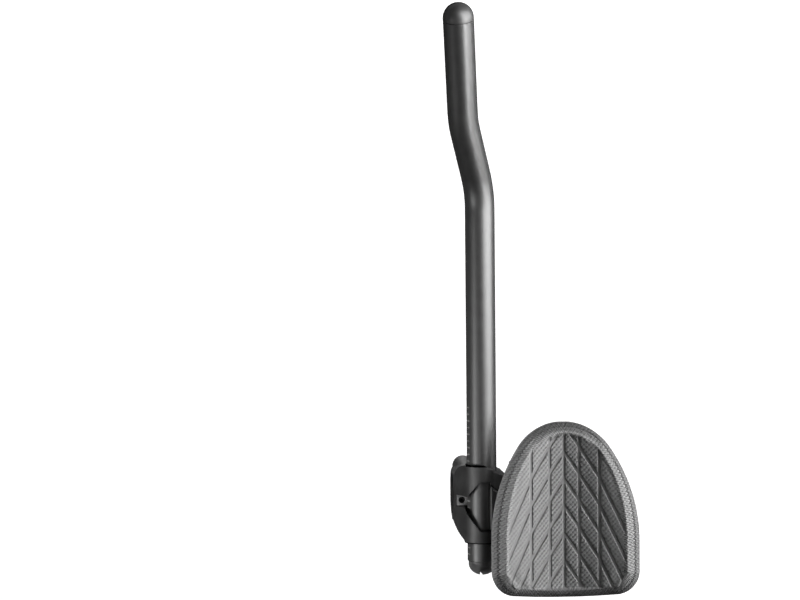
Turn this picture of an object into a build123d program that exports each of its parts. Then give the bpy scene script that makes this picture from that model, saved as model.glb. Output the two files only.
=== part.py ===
from build123d import *
import math
import os

os.makedirs("parts", exist_ok=True)

# Driving dimensions in millimetres. The origin is the centre of the handlebar bore, right under the
# extension tube. +X points outboard along the handlebar, +Y forward along the tube, +Z up.
BAR_DIA = 31.8
CLAMP_X0 = -20.0
CLAMP_X1 = 18.0
CLAMP_R = 20.5
CLAMP_CORNER_X = 5.3
CLAMP_CORNER_Y = 3.4
SPLIT_GAP = 1.2
CAP_BEVEL_Y = 5.0
CAP_BEVEL_Z = 6.0
CAP_FLAT = 8.0
FAR = 60.0

TUBE_DIA = 22.2
TUBE_WALL = 1.8
TUBE_Z = 34.0
TUBE_REAR_Y = -45.6
BEND_1_Y = 230.4
BEND_1_R = 48.0
MID_LENGTH = 58.75
MID_YAW = 15.66
MID_RISE = 28.0
BEND_2_R = 85.0
GRIP_LENGTH = 77.8
GRIP_YAW = 4.13
GRIP_RISE = 24.0
TUBE_CLEARANCE = 0.05
TUBE_CHAMFER = 0.35

CAP_DOME = 12.6
CAP_SKIRT = 14.0
CAP_HOLLOW = 2.0
CAP_WALL = 2.0
PLUG_NOSE = 11.0
PLUG_SKIRT = 14.0
PLUG_R = 10.3
PLUG_STRAIGHT = 2.6
PLUG_ARC = 78.0
PLUG_FLOOR = 2.0
NOTCH_X = -2.3
NOTCH_WIDTH = 3.1
NOTCH_DEPTH = 3.9
FACET_START = 2.4
FACET_X = -2.9
FACET_Z = 9.8
FACET_DROP = 18.0
FACET_LEAN = -24.0

RING_R = 15.0
RING_FRONT_Y = 27.2
RING_REAR_Y = -31.2
RING_MOUTH = 1.0
BODY_TOP = 50.0
EDGE_BREAK = 0.7
FLANK_END_Z = 28.0
FLANK_FILLET = 7.5
FLANK_CORNER_R = 9.5
FLANK_REAR_X = -13.3
FLANK_TURN_1 = (-15.6, -27.4)
FLANK_TURN_2 = (-18.9, -22.1)
FLANK_SIDE_Y = -14.0
REAR_ROOT_Z = 3.0
REAR_UNDER_Z = 19.0
SHOULDER_X = 36.0
SHOULDER_Z = 47.0
SHOULDER_TURN_X = 0.5
SHOULDER_FRONT_Y = 8.6
SHOULDER_REAR_Y = -22.0
SHOULDER_REAR_X = 24.0
ARM_FILLET = 6.0
ARM_ROOT_Z = 19.0
ARM_END_Z = 38.5
SEAT_Z = 44.5

WINDOW_X = 5.4
WINDOW_FRONT_X = -2.8
WINDOW_FRONT_Y = 14.6
WINDOW_REAR_X = -2.5
WINDOW_REAR_Y = -21.9
WINDOW_NECK_FRONT_X = -11.9
WINDOW_NECK_X = -13.4
WINDOW_TURN = (-12.4, -8.75)
WINDOW_FLOOR_Z = 27.0
WINDOW_FILLET = 3.0

LUG_R = 8.0
LUG_TOP_R = 5.7
LUG_TOP_Z = 30.0
CAP_LUG_R = 6.5
CAP_LUG_H = 9.0
RELIEF_X = -2.0
RELIEF_Z = 10.5
BOLT_Y = 21.3
FRONT_BOLT_X = -11.8
REAR_BOLT_X = 10.0
CLAMP_BOLT_LENGTH = 24.0
CLAMP_HOLE_TOP = 16.0
M5_R = 2.5
M5_HEAD_R = 4.25
M5_HEAD_H = 5.0
M5_WASHER_R = 5.0
M5_WASHER_H = 1.0
HEX_M5 = 4.0
HEX_M5_DEPTH = 2.6
CLAMP_BOLT_PLAY = 0.3
WASHER_PLAY = 0.3
FIT = 0.05

BINDER_X = -14.8
BINDER_Y = -0.7
BINDER_R = 2.5
BINDER_FOOT_Z = 19.2
BINDER_TOP_Z = 27.6
NECK_X = -18.75
NECK_HALF = 4.2
NECK_INNER_X = -5.0
NECK_DEPTH = 1.2
WEDGE_TOP = 31.0
WEDGE_BOTTOM = 23.2
WEDGE_X1 = -6.5
WEDGE_PLAY = 0.25
BINDER_HEX = 2.5
BINDER_HEX_DEPTH = 3.0

CARRIER_T = 5.0
CARRIER_CHAMFER = 1.1
CARRIER_X0 = 4.8
CARRIER_X1 = 86.0
CARRIER_Y0 = -20.8
CARRIER_Y1 = 5.0
CARRIER_NOSE_Y = 12.2
CARRIER_TURN_X = 14.2
SEAT_PLAY = 0.2
CARRIER_END_R = 9.0
CARRIER_GRIP = 11.0
CARRIER_HOLE = 12.0
SINK_R = 4.6
SINK_PLAY = 0.2
SINK_HEX = 3.0
SINK_HEX_DEPTH = 1.8
CARRIER_BOLT_SPOTS = [(15.0, -15.5), (29.0, -8.0)]
ARMREST_BOLT_SPOTS = [(46.0, -8.0), (72.0, -8.0)]

PAD_X = 57.7
PAD_FRONT_Y = 60.6
PAD_LENGTH = 129.0
PAD_HALF = 54.0
PAD_FRONT_R = 40.0
PAD_WIDEST = 86.0
PAD_CORNER_R = 18.0
PAD_REAR_R = 300.0
PAD_RIM_WIDTH = 8.4
PAD_EDGE_R = 3.5
CUP_T = 3.0
CUP_INSET = 3.5
CUP_BOSS = 1.6
BOSS_X0 = 38.0
BOSS_X1 = 80.0
BOSS_MARGIN = 1.5
BOSS_ROOT = 2.0
CUP_SEAT = 1.6
CUP_HOLE_PLAY = 0.3
CUP_SINK_PLAY = 0.4
CUP_SINK_TOP = 70.0
LOW_HEAD_H = 2.0
LOW_BOLT_LENGTH = 8.0
LOW_HEX = 3.0
LOW_HEX_DEPTH = 1.4
LOW_WASHER_PLAY = 0.2
TROUGH_R = 134.0
HOOK_T = 1.5
PATCH_X = 30.0
PATCH_Y = -6.0
PATCH_SIZE = (20.0, 76.0)
FRONT_PATCH_Y = 40.0
FRONT_PATCH_SIZE = (34.0, 16.0)
LOOP_T = 1.0
LOOP_INSET = 4.0
LAYER_Z0 = 30.0
LAYER_Z1 = 110.0
LAYER_GAP = 0.25
RIM_T = 13.0
FLOOR_T = 8.5
GROOVE_W = 2.3
GROOVE_DEPTH = 1.7
CHEVRONS = 7
CHEVRON_START = 1.4
CHEVRON_PITCH = 20.0
COLUMN_1 = 10.8
COLUMN_2 = 25.0
INNER_SLOPE = 1.48
MIDDLE_SLOPE = 1.6
OUTER_SLOPE = 2.15
TREAD_INSET = 0.8
TREAD_ROOT = 0.4
SMALLEST_LOZENGE = 6.0

TUBE_R = TUBE_DIA / 2
TUBE_INNER_R = TUBE_R - TUBE_WALL
BORE_R = TUBE_R + TUBE_CLEARANCE


def save(shape, node):
    shape.label = node
    export_step(shape, "parts/" + node + ".step")


def post(x, y, z0, z1, r):
    """Upright cylinder from height z0 to height z1."""
    return Pos(x, y, (z0 + z1) / 2) * Cylinder(r, z1 - z0)


def block(x0, x1, y0, y1, z0, z1):
    """Upright box between the given limits."""
    return Pos((x0 + x1) / 2, (y0 + y1) / 2, (z0 + z1) / 2) * Box(x1 - x0, y1 - y0, z1 - z0)


def prism(outline, z0, z1):
    """Upright prism over a plan outline."""
    return extrude(Pos(0, 0, z0) * outline, amount=z1 - z0, dir=(0, 0, 1))


def along_y(section, y0, y1):
    """Section drawn in X and Z, drawn out from y0 to y1."""
    return extrude(Plane.XZ.offset(-y1) * section, amount=y1 - y0, dir=(0, -1, 0))


def along_x(section, x0, x1):
    """Section drawn in Y and Z, drawn out from x0 to x1."""
    return extrude(Plane.YZ.offset(x0) * section, amount=x1 - x0, dir=(1, 0, 0))


def heading(yaw, rise):
    """Unit vector that turns inboard by yaw and climbs by rise, both in degrees."""
    level = math.cos(math.radians(rise))
    side = -level * math.sin(math.radians(yaw))
    ahead = level * math.cos(math.radians(yaw))
    return Vector(side, ahead, math.sin(math.radians(rise)))


def bend(corner, before, after, radius):
    """Arc that rounds the corner between two straight runs of the tube."""
    half = before.get_angle(after) / 2
    reach = radius * math.tan(math.radians(half))
    inward = (after - before).normalized()
    depth = radius / math.cos(math.radians(half)) - radius
    return ThreePointArc(corner - before * reach, corner + inward * depth, corner + after * reach)


# Extension tube: straight through the bracket, then it climbs and leans inboard, then runs on to the grip.
run_1 = Vector(0, 1, 0)
run_2 = heading(MID_YAW, MID_RISE)
run_3 = heading(GRIP_YAW, GRIP_RISE)
tube_rear = Vector(0, TUBE_REAR_Y, TUBE_Z)
corner_1 = Vector(0, BEND_1_Y, TUBE_Z)
corner_2 = corner_1 + run_2 * MID_LENGTH
tube_front = corner_2 + run_3 * GRIP_LENGTH
arc_1 = bend(corner_1, run_1, run_2, BEND_1_R)
arc_2 = bend(corner_2, run_2, run_3, BEND_2_R)
path = Wire([
    Line(tube_rear, arc_1 @ 0),
    arc_1,
    Line(arc_1 @ 1, arc_2 @ 0),
    arc_2,
    Line(arc_2 @ 1, tube_front),
])
rear_plane = Plane(origin=tube_rear, x_dir=(1, 0, 0), z_dir=(0, 1, 0))
tube_outer = sweep(rear_plane * Circle(TUBE_R), path=path)
tube_inner = sweep(rear_plane * Circle(TUBE_INNER_R), path=path)
tube = tube_outer - tube_inner
rims = [edge for edge in tube.edges().filter_by(GeomType.CIRCLE) if abs(edge.radius - TUBE_R) < FIT]
end_rims = [edge for edge in rims if edge.is_closed]
save(chamfer(end_rims, TUBE_CHAMFER), "extension_tube")

# Front end cap: a long dome on a skirt that is pushed into the tube.
front_plane = Plane(origin=tube_front, x_dir=(1, 0, 0), z_dir=run_3)
skirt_r = TUBE_INNER_R - FIT
dome_profile = make_face([
    Line((0, -CAP_SKIRT), (skirt_r, -CAP_SKIRT)),
    Line((skirt_r, -CAP_SKIRT), (skirt_r, 0)),
    Line((skirt_r, 0), (TUBE_R - TUBE_CHAMFER, 0)),
    Line((TUBE_R - TUBE_CHAMFER, 0), (TUBE_R, TUBE_CHAMFER)),
    Line((TUBE_R, TUBE_CHAMFER), (TUBE_R, CAP_DOME - TUBE_R)),
    CenterArc((0, CAP_DOME - TUBE_R), TUBE_R, start_angle=0, arc_size=90),
    Line((0, CAP_DOME), (0, -CAP_SKIRT)),
])
dome = revolve(Plane.XZ * dome_profile, axis=Axis.Z)
front_cap = front_plane * (dome - post(0, 0, -CAP_SKIRT - 1, CAP_HOLLOW, skirt_r - CAP_WALL))
save(front_cap, "front_end_cap")

# Rear end plug: a bullet nose with a notch at its tip and a sunk facet beside it, on a skirt in the tube.
nose_depth = PLUG_NOSE - PLUG_STRAIGHT
nose_arc = EllipticalCenterArc((0, PLUG_STRAIGHT), PLUG_R, nose_depth, start_angle=0, arc_size=PLUG_ARC)
nose_tip = nose_arc @ 1
nose_profile = make_face([
    Line((0, -PLUG_SKIRT), (skirt_r, -PLUG_SKIRT)),
    Line((skirt_r, -PLUG_SKIRT), (skirt_r, 0)),
    Line((skirt_r, 0), (PLUG_R, 0)),
    Line((PLUG_R, 0), (PLUG_R, PLUG_STRAIGHT)),
    nose_arc,
    Line(nose_tip, (0, nose_tip.Y)),
    Line((0, nose_tip.Y), (0, -PLUG_SKIRT)),
])
nose_plane = Plane(origin=tube_rear, x_dir=(1, 0, 0), z_dir=(0, -1, 0))
nose = revolve(Plane.XZ * nose_profile, axis=Axis.Z)
rear_plug = nose_plane * (nose - post(0, 0, -PLUG_SKIRT - 1, -PLUG_FLOOR, skirt_r - CAP_WALL))
nose_end = TUBE_REAR_Y - PLUG_NOSE
notch = Polygon(
    (NOTCH_X, nose_end - 1),
    (NOTCH_X, nose_end + NOTCH_DEPTH),
    (NOTCH_X + NOTCH_WIDTH, nose_end - 1), align=None)
rear_plug -= prism(notch, TUBE_Z - TUBE_R, TUBE_Z + TUBE_R)
facet = block(-PLUG_R, FACET_X, -PLUG_NOSE - PLUG_R, 0, 0, PLUG_R)
rear_plug -= Pos(0, TUBE_REAR_Y - FACET_START, TUBE_Z + FACET_Z) * Rot(FACET_DROP, FACET_LEAN, 0) * facet
save(rear_plug, "rear_end_plug")

# Bracket body: one forging with two rings round the tube, an inboard flank that falls from the rings to the
# end of the clamp, an outboard shoulder for the armrest, and the upper half of the handlebar clamp below.
# The flank touches the ring and ends on the clamp's end face.
flank_reach = math.hypot(CLAMP_X0, TUBE_Z - FLANK_END_Z)
flank_slope = math.atan2(TUBE_Z - FLANK_END_Z, -CLAMP_X0) + math.asin(RING_R / flank_reach)
flank_top = (-RING_R * math.sin(flank_slope), TUBE_Z + RING_R * math.cos(flank_slope))
shoulder_start = math.sqrt(RING_R ** 2 - (SHOULDER_Z - TUBE_Z) ** 2)
front_section = make_face([
    Line((CLAMP_X0, 0), (CLAMP_X0, FLANK_END_Z)),
    Line((CLAMP_X0, FLANK_END_Z), flank_top),
    ThreePointArc(flank_top, (0, TUBE_Z + RING_R), (shoulder_start, SHOULDER_Z)),
    Line((shoulder_start, SHOULDER_Z), (SHOULDER_X, SHOULDER_Z)),
    Line((SHOULDER_X, SHOULDER_Z), (SHOULDER_X, ARM_END_Z)),
    Line((SHOULDER_X, ARM_END_Z), (CLAMP_X1, ARM_ROOT_Z)),
    Line((CLAMP_X1, ARM_ROOT_Z), (CLAMP_X1, 0)),
    Line((CLAMP_X1, 0), (CLAMP_X0, 0)),
])
flank_corner = front_section.vertices().sort_by_distance((CLAMP_X0, FLANK_END_Z))[0]
front_section = fillet(flank_corner, FLANK_FILLET)
under_arm = front_section.vertices().sort_by_distance((CLAMP_X1, ARM_ROOT_Z))[0]
front_section = fillet(under_arm, ARM_FILLET)
flank_rear = (FLANK_REAR_X, RING_REAR_Y)
flank_side = (CLAMP_X0, FLANK_SIDE_Y)
corner_side = (CLAMP_X0, RING_FRONT_Y - FLANK_CORNER_R)
corner_front = (CLAMP_X0 + FLANK_CORNER_R, RING_FRONT_Y)
plan = make_face([
    Line(corner_front, (SHOULDER_TURN_X, RING_FRONT_Y)),
    Line((SHOULDER_TURN_X, RING_FRONT_Y), (SHOULDER_X, SHOULDER_FRONT_Y)),
    Line((SHOULDER_X, SHOULDER_FRONT_Y), (SHOULDER_X, SHOULDER_REAR_Y)),
    Line((SHOULDER_X, SHOULDER_REAR_Y), (SHOULDER_REAR_X, RING_REAR_Y)),
    Line((SHOULDER_REAR_X, RING_REAR_Y), flank_rear),
    Spline(flank_rear, FLANK_TURN_1, FLANK_TURN_2, flank_side, tangents=[(-0.25, 0.97), (0, 1)]),
    Line(flank_side, corner_side),
    RadiusArc(corner_side, corner_front, FLANK_CORNER_R),
])
side_section = Polygon(
    (RING_FRONT_Y, 0), (RING_FRONT_Y, BODY_TOP), (RING_REAR_Y, BODY_TOP), (RING_REAR_Y, REAR_UNDER_Z),
    (-CLAMP_R, REAR_ROOT_Z), (-CLAMP_R, 0), align=None)
body = along_y(front_section, RING_REAR_Y, RING_FRONT_Y)
body = body & prism(plan, 0, BODY_TOP)
body = body & along_x(side_section, CLAMP_X0 - 1, SHOULDER_X + 1)
top_lines = body.edges().filter_by(GeomType.LINE).group_by(Axis.Z)[-1]
shoulder_edge = top_lines.filter_by(lambda e: e.center().X > SHOULDER_TURN_X).sort_by(Axis.Y)[-1]
body = chamfer(shoulder_edge, EDGE_BREAK)

# The clamp is cut back in front, apart from the tapered boss of the clamp bolt, and so is its front corner.
# A second boss stands at the rear, on the other side.
front_relief = block(RELIEF_X, SHOULDER_X, CLAMP_R, RING_FRONT_Y + 1, -1, RELIEF_Z)
clamp_corner = Polygon(
    (CLAMP_X1 - 2 * CLAMP_CORNER_X, CLAMP_R + CLAMP_CORNER_Y),
    (CLAMP_X1 + CLAMP_CORNER_X, CLAMP_R + CLAMP_CORNER_Y),
    (CLAMP_X1 + CLAMP_CORNER_X, CLAMP_R - 2 * CLAMP_CORNER_Y), align=None)
corner_cut = prism(clamp_corner, -CLAMP_R - 1, RELIEF_Z)
body = body - front_relief - corner_cut
clamp_bolt_spots = [(FRONT_BOLT_X, BOLT_Y), (REAR_BOLT_X, -BOLT_Y)]
for x, y in clamp_bolt_spots:
    body += Pos(x, y, LUG_TOP_Z / 2) * Cone(LUG_R, LUG_TOP_R, LUG_TOP_Z)
underside = block(-FAR, FAR, -FAR, FAR, -1, SPLIT_GAP / 2)
bar_bore = Rot(0, 90, 0) * Cylinder(BAR_DIA / 2, 2 * FAR)
tube_bore = Pos(0, 0, TUBE_Z) * Rot(90, 0, 0) * Cylinder(BORE_R, 2 * FAR)
body = body - underside - bar_bore - tube_bore
front_mouth = Cone(BORE_R + RING_MOUTH, BORE_R, RING_MOUTH)
rear_mouth = Cone(BORE_R, BORE_R + RING_MOUTH, RING_MOUTH)
body -= Pos(0, RING_FRONT_Y - RING_MOUTH / 2, TUBE_Z) * Rot(90, 0, 0) * front_mouth
body -= Pos(0, RING_REAR_Y + RING_MOUTH / 2, TUBE_Z) * Rot(90, 0, 0) * rear_mouth

# The window between the rings opens from the top and narrows inboard to the neck of the binder.
neck_front = BINDER_Y + NECK_HALF
neck_rear = BINDER_Y - NECK_HALF
window = Polygon(
    (WINDOW_X, WINDOW_FRONT_Y), (WINDOW_FRONT_X, WINDOW_FRONT_Y), (WINDOW_NECK_FRONT_X, neck_front),
    (WINDOW_NECK_X, neck_front), (WINDOW_NECK_X, neck_rear), WINDOW_TURN, (WINDOW_REAR_X, WINDOW_REAR_Y),
    (WINDOW_X, WINDOW_REAR_Y), align=None)
window_turns = window.vertices().filter_by(lambda v: abs(v.X - WINDOW_FRONT_X) < 1)
window = fillet(window_turns, WINDOW_FILLET)
body -= prism(window, WINDOW_FLOOR_Z, BODY_TOP)
body -= block(NECK_X, NECK_INNER_X, neck_rear, neck_front, WEDGE_BOTTOM - NECK_DEPTH, BODY_TOP)
body -= post(BINDER_X, BINDER_Y, BINDER_FOOT_Z, WEDGE_BOTTOM, BINDER_R + FIT)

# The carrier of the armrest lies in a seat in the shoulder, with a slanted front wall.
seat_front = CARRIER_Y1 + SEAT_PLAY
seat = Polygon(
    (WINDOW_X, WINDOW_REAR_Y), (WINDOW_X, CARRIER_NOSE_Y + 2 * SEAT_PLAY),
    (CARRIER_TURN_X + SEAT_PLAY, seat_front), (SHOULDER_X + 1, seat_front),
    (SHOULDER_X + 1, WINDOW_REAR_Y), align=None)
body -= prism(seat, SEAT_Z, BODY_TOP)
for x, y in CARRIER_BOLT_SPOTS:
    body -= post(x, y, SEAT_Z - CARRIER_HOLE, SEAT_Z + 1, M5_R + FIT)
for x, y in clamp_bolt_spots:
    body -= post(x, y, -1, CLAMP_HOLE_TOP, M5_R + FIT)
save(body, "bracket_body")

# Lower half of the handlebar clamp: a half ring with a lug at the front and one at the rear.
half_ring = Polygon(
    (-CLAMP_R, 0), (CLAMP_R, 0), (CLAMP_R - CAP_BEVEL_Y, -CLAMP_R + CAP_BEVEL_Z), (CAP_FLAT, -CLAMP_R),
    (-CAP_FLAT, -CLAMP_R), (-CLAMP_R + CAP_BEVEL_Y, -CLAMP_R + CAP_BEVEL_Z), align=None)
cap = along_x(half_ring, CLAMP_X0, CLAMP_X1) - corner_cut
lug_root = BOLT_Y - CAP_LUG_R
for x, y in clamp_bolt_spots:
    side = math.copysign(1, y)
    cap += post(x, y, -CAP_LUG_H, 0, CAP_LUG_R)
    cap += Pos(x, side * (lug_root + BOLT_Y) / 2, -CAP_LUG_H / 2) * Box(2 * CAP_LUG_R, CAP_LUG_R, CAP_LUG_H)
cap -= block(-FAR, FAR, -FAR, FAR, -SPLIT_GAP / 2, 1)
cap -= bar_bore
for x, y in clamp_bolt_spots:
    cap -= post(x, y, -CLAMP_R - 1, 1, M5_R + CLAMP_BOLT_PLAY)
    cap -= post(x, y, -CLAMP_R - 1, -CAP_LUG_H, M5_WASHER_R + WASHER_PLAY)
save(cap, "bar_clamp_cap")


def hex_recess(depth, across):
    """Hexagon socket, open towards +Z at height zero."""
    return extrude(RegularPolygon(across / 2, 6, major_radius=False), amount=-depth)


def socket_bolt(length):
    """Cap screw with a hexagon socket, head upwards, shank downwards from height zero."""
    screw = post(0, 0, 0, M5_HEAD_H, M5_HEAD_R)
    screw += post(0, 0, -length, 0, M5_R)
    screw -= Pos(0, 0, M5_HEAD_H) * hex_recess(HEX_M5_DEPTH, HEX_M5)
    return screw


def washer(hole):
    """Flat washer from height zero up."""
    return post(0, 0, 0, M5_WASHER_H, M5_WASHER_R) - post(0, 0, -1, M5_WASHER_H + 1, hole)


# Clamp bolts and their washers, put in from below.
clamp_bolts = []
clamp_washers = []
for x, y in clamp_bolt_spots:
    upside = Pos(x, y, -CAP_LUG_H) * Rot(180, 0, 0)
    clamp_washers.append(upside * washer(M5_R + WASHER_PLAY))
    clamp_bolts.append(upside * Pos(0, 0, M5_WASHER_H) * socket_bolt(CLAMP_BOLT_LENGTH))
save(Compound(children=clamp_bolts), "bar_clamp_bolts")
save(Compound(children=clamp_washers), "bar_clamp_washers")

# Binder: a square wedge beside and under the tube, lifted against it by a set screw that stands on the
# floor of its bore.
wedge = block(
    NECK_X + WEDGE_PLAY, WEDGE_X1, neck_rear + WEDGE_PLAY, neck_front - WEDGE_PLAY, WEDGE_BOTTOM, WEDGE_TOP)
wedge -= Pos(0, 0, TUBE_Z) * Rot(90, 0, 0) * Cylinder(BORE_R, FAR)
wedge -= post(BINDER_X, BINDER_Y, WEDGE_BOTTOM - 1, WEDGE_TOP + 1, BINDER_R + FIT)
save(wedge, "binder_wedge")
binder_screw = post(BINDER_X, BINDER_Y, BINDER_FOOT_Z, BINDER_TOP_Z, BINDER_R)
binder_screw -= Pos(BINDER_X, BINDER_Y, BINDER_TOP_Z) * hex_recess(BINDER_HEX_DEPTH, BINDER_HEX)
save(binder_screw, "binder_screw")

# Armrest carrier: a plate from the seat in the shoulder to the middle of the armrest.
carrier_plan = Polygon(
    (CARRIER_X0, CARRIER_Y0), (CARRIER_X0, CARRIER_NOSE_Y), (CARRIER_TURN_X, CARRIER_Y1),
    (CARRIER_X1, CARRIER_Y1), (CARRIER_X1, CARRIER_Y0), align=None)
carrier_top = SEAT_Z + CARRIER_T
carrier = prism(carrier_plan, SEAT_Z, carrier_top)
far_edges = carrier.edges().filter_by(Axis.Z).group_by(Axis.X)[-1]
carrier = fillet(far_edges, CARRIER_END_R)
carrier = chamfer(carrier.faces().sort_by(Axis.Z)[-1].edges(), CARRIER_CHAMFER)
sink_h = SINK_R - M5_R
cone_top = (Align.CENTER, Align.CENTER, Align.MAX)
for x, y in CARRIER_BOLT_SPOTS:
    carrier -= post(x, y, SEAT_Z - 1, carrier_top + 1, M5_R + SINK_PLAY)
    carrier -= Pos(x, y, carrier_top) * Cone(M5_R + SINK_PLAY, SINK_R + SINK_PLAY, sink_h, align=cone_top)
for x, y in ARMREST_BOLT_SPOTS:
    carrier -= post(x, y, SEAT_Z - 1, carrier_top + 1, M5_R + FIT)
save(carrier, "armrest_carrier")

# Countersunk bolts of the carrier.
carrier_bolts = []
for x, y in CARRIER_BOLT_SPOTS:
    bolt = Pos(x, y, carrier_top) * Cone(M5_R, SINK_R, sink_h, align=cone_top)
    bolt += post(x, y, SEAT_Z - CARRIER_GRIP, carrier_top - sink_h, M5_R)
    bolt -= Pos(x, y, carrier_top) * hex_recess(SINK_HEX_DEPTH, SINK_HEX)
    carrier_bolts.append(bolt)
save(Compound(children=carrier_bolts), "carrier_bolts")

# The outline that cup and pad share: a round front, long arcs along the sides, tight rear corners and a
# slightly bowed rear edge. All the arcs meet smoothly.
side_top = PAD_HALF ** 2 + PAD_WIDEST ** 2 - 2 * PAD_WIDEST * PAD_FRONT_R
PAD_SIDE_R = side_top / (2 * (PAD_HALF - PAD_FRONT_R))
corner_centre_x = PAD_HALF - PAD_CORNER_R
corner_drop = math.sqrt((PAD_REAR_R - PAD_CORNER_R) ** 2 - corner_centre_x ** 2)
corner_centre_y = PAD_LENGTH - PAD_REAR_R + corner_drop


def armrest_outline(inset):
    """The armrest's plan outline, drawn in by an even margin and put in its place."""
    front_c = Vector(0, -PAD_FRONT_R)
    side_c = Vector(PAD_HALF - PAD_SIDE_R, -PAD_WIDEST)
    corner_c = Vector(corner_centre_x, -corner_centre_y)
    rear_c = Vector(0, -PAD_LENGTH + PAD_REAR_R)
    to_side = (front_c - side_c).normalized()
    to_rear = (corner_c - rear_c).normalized()
    front_end = front_c + to_side * (PAD_FRONT_R - inset)
    rear_end = corner_c + to_rear * (PAD_CORNER_R - inset)
    half_width = PAD_HALF - inset
    right = [
        RadiusArc((0, -inset), front_end, PAD_FRONT_R - inset),
        RadiusArc(front_end, (half_width, -PAD_WIDEST), PAD_SIDE_R - inset),
        Line((half_width, -PAD_WIDEST), (half_width, -corner_centre_y)),
        RadiusArc((half_width, -corner_centre_y), rear_end, PAD_CORNER_R - inset),
        RadiusArc(rear_end, (0, -PAD_LENGTH + inset), PAD_REAR_R - inset),
    ]
    left = [mirror(edge, about=Plane.YZ) for edge in right]
    return Pos(PAD_X, PAD_FRONT_Y, 0) * make_face(right + left)


trough_axis_z = carrier_top + CUP_BOSS + TROUGH_R


def trough(radius):
    """Everything within a radius of the trough's axis, which lies above the armrest along Y."""
    return Pos(PAD_X, 0, trough_axis_z) * Rot(90, 0, 0) * Cylinder(radius, 200)


def layer(face, outer, inner):
    """Slice of the trough between two radii, over a plan outline."""
    return (prism(face, LAYER_Z0, LAYER_Z1) & trough(outer)) - trough(inner)


# Cup: a dished shell with a flat boss underneath that sits on the carrier.
cup_r = TROUGH_R - CUP_T
cup = layer(armrest_outline(CUP_INSET), TROUGH_R, cup_r)
boss_top = carrier_top + CUP_BOSS + BOSS_ROOT
boss = block(BOSS_X0, BOSS_X1, CARRIER_Y0 + BOSS_MARGIN, CARRIER_Y1 - BOSS_MARGIN, carrier_top, boss_top)
cup += boss - trough(cup_r)
cup_seat = carrier_top + CUP_SEAT
for x, y in ARMREST_BOLT_SPOTS:
    cup -= post(x, y, carrier_top - 1, CUP_SINK_TOP, M5_R + CUP_HOLE_PLAY)
    cup -= post(x, y, cup_seat, CUP_SINK_TOP, M5_WASHER_R + CUP_SINK_PLAY)
save(cup, "armrest_cup")

# Low-headed bolts and washers that hold the cup on the carrier.
armrest_bolts = []
armrest_washers = []
for x, y in ARMREST_BOLT_SPOTS:
    armrest_washers.append(Pos(x, y, cup_seat) * washer(M5_R + LOW_WASHER_PLAY))
    low = post(0, 0, 0, LOW_HEAD_H, M5_HEAD_R)
    low += post(0, 0, -LOW_BOLT_LENGTH, 0, M5_R)
    low -= Pos(0, 0, LOW_HEAD_H) * hex_recess(LOW_HEX_DEPTH, LOW_HEX)
    armrest_bolts.append(Pos(x, y, cup_seat + M5_WASHER_H) * low)
save(Compound(children=armrest_bolts), "armrest_bolts")
save(Compound(children=armrest_washers), "armrest_washers")

# Self-gripping patches in the cup, and the backing of the pad that they hold.
hook_r = cup_r - HOOK_T
loop_outer = hook_r - LAYER_GAP
loop_r = loop_outer - LOOP_T
patch_plan = [
    Pos(PAD_X - PATCH_X, PATCH_Y) * Rectangle(*PATCH_SIZE),
    Pos(PAD_X + PATCH_X, PATCH_Y) * Rectangle(*PATCH_SIZE),
    Pos(PAD_X, FRONT_PATCH_Y) * Rectangle(*FRONT_PATCH_SIZE),
]
patches = []
for patch in patch_plan:
    patches += layer(patch, cup_r, hook_r).solids()
save(Compound(children=patches), "hook_patches")
save(layer(armrest_outline(LOOP_INSET), loop_outer, loop_r), "loop_backing")

# Pad: foam with a rounded, raised rim around a sunken floor. The floor carries a tread of lozenges
# between upright grooves and chevrons that point forward.
rim_r = loop_r - RIM_T
floor_r = loop_r - FLOOR_T
groove_r = floor_r + GROOVE_DEPTH
pad = layer(armrest_outline(0), loop_r, rim_r)
rim_face = pad.faces().sort_by(lambda f: f.center().Z)[-1]
pad = fillet(rim_face.edges(), PAD_EDGE_R)
pad -= prism(armrest_outline(PAD_RIM_WIDTH), LAYER_Z0, LAYER_Z1) & trough(groove_r)

grooves = []
for x in [-COLUMN_2, -COLUMN_1, 0, COLUMN_1, COLUMN_2]:
    grooves.append(Pos(x, -PAD_LENGTH / 2) * Rectangle(GROOVE_W, 2 * PAD_LENGTH))
drop_1 = COLUMN_1 * INNER_SLOPE
drop_2 = drop_1 + (COLUMN_2 - COLUMN_1) * MIDDLE_SLOPE
drop_3 = drop_2 + COLUMN_2 * OUTER_SLOPE
for k in range(CHEVRONS):
    apex = -CHEVRON_START - CHEVRON_PITCH * k
    for side in (-1, 1):
        run = Polyline(
            (0, apex),
            (side * COLUMN_1, apex - drop_1),
            (side * COLUMN_2, apex - drop_2),
            (side * COLUMN_2 * 2, apex - drop_3),
        )
        grooves.append(trace(run, GROOVE_W))
tread = armrest_outline(PAD_RIM_WIDTH + TREAD_INSET)
for strip in grooves:
    tread = tread - Pos(PAD_X, PAD_FRONT_Y) * strip
tread_layer = trough(groove_r + TREAD_ROOT) - trough(floor_r)
for lozenge in tread.faces():
    if lozenge.area > SMALLEST_LOZENGE:
        pad += prism(lozenge, LAYER_Z0, LAYER_Z1) & tread_layer
save(pad, "armrest_pad")
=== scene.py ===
import math

import bpy
import numpy as np
from mathutils import Matrix, Vector


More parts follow.
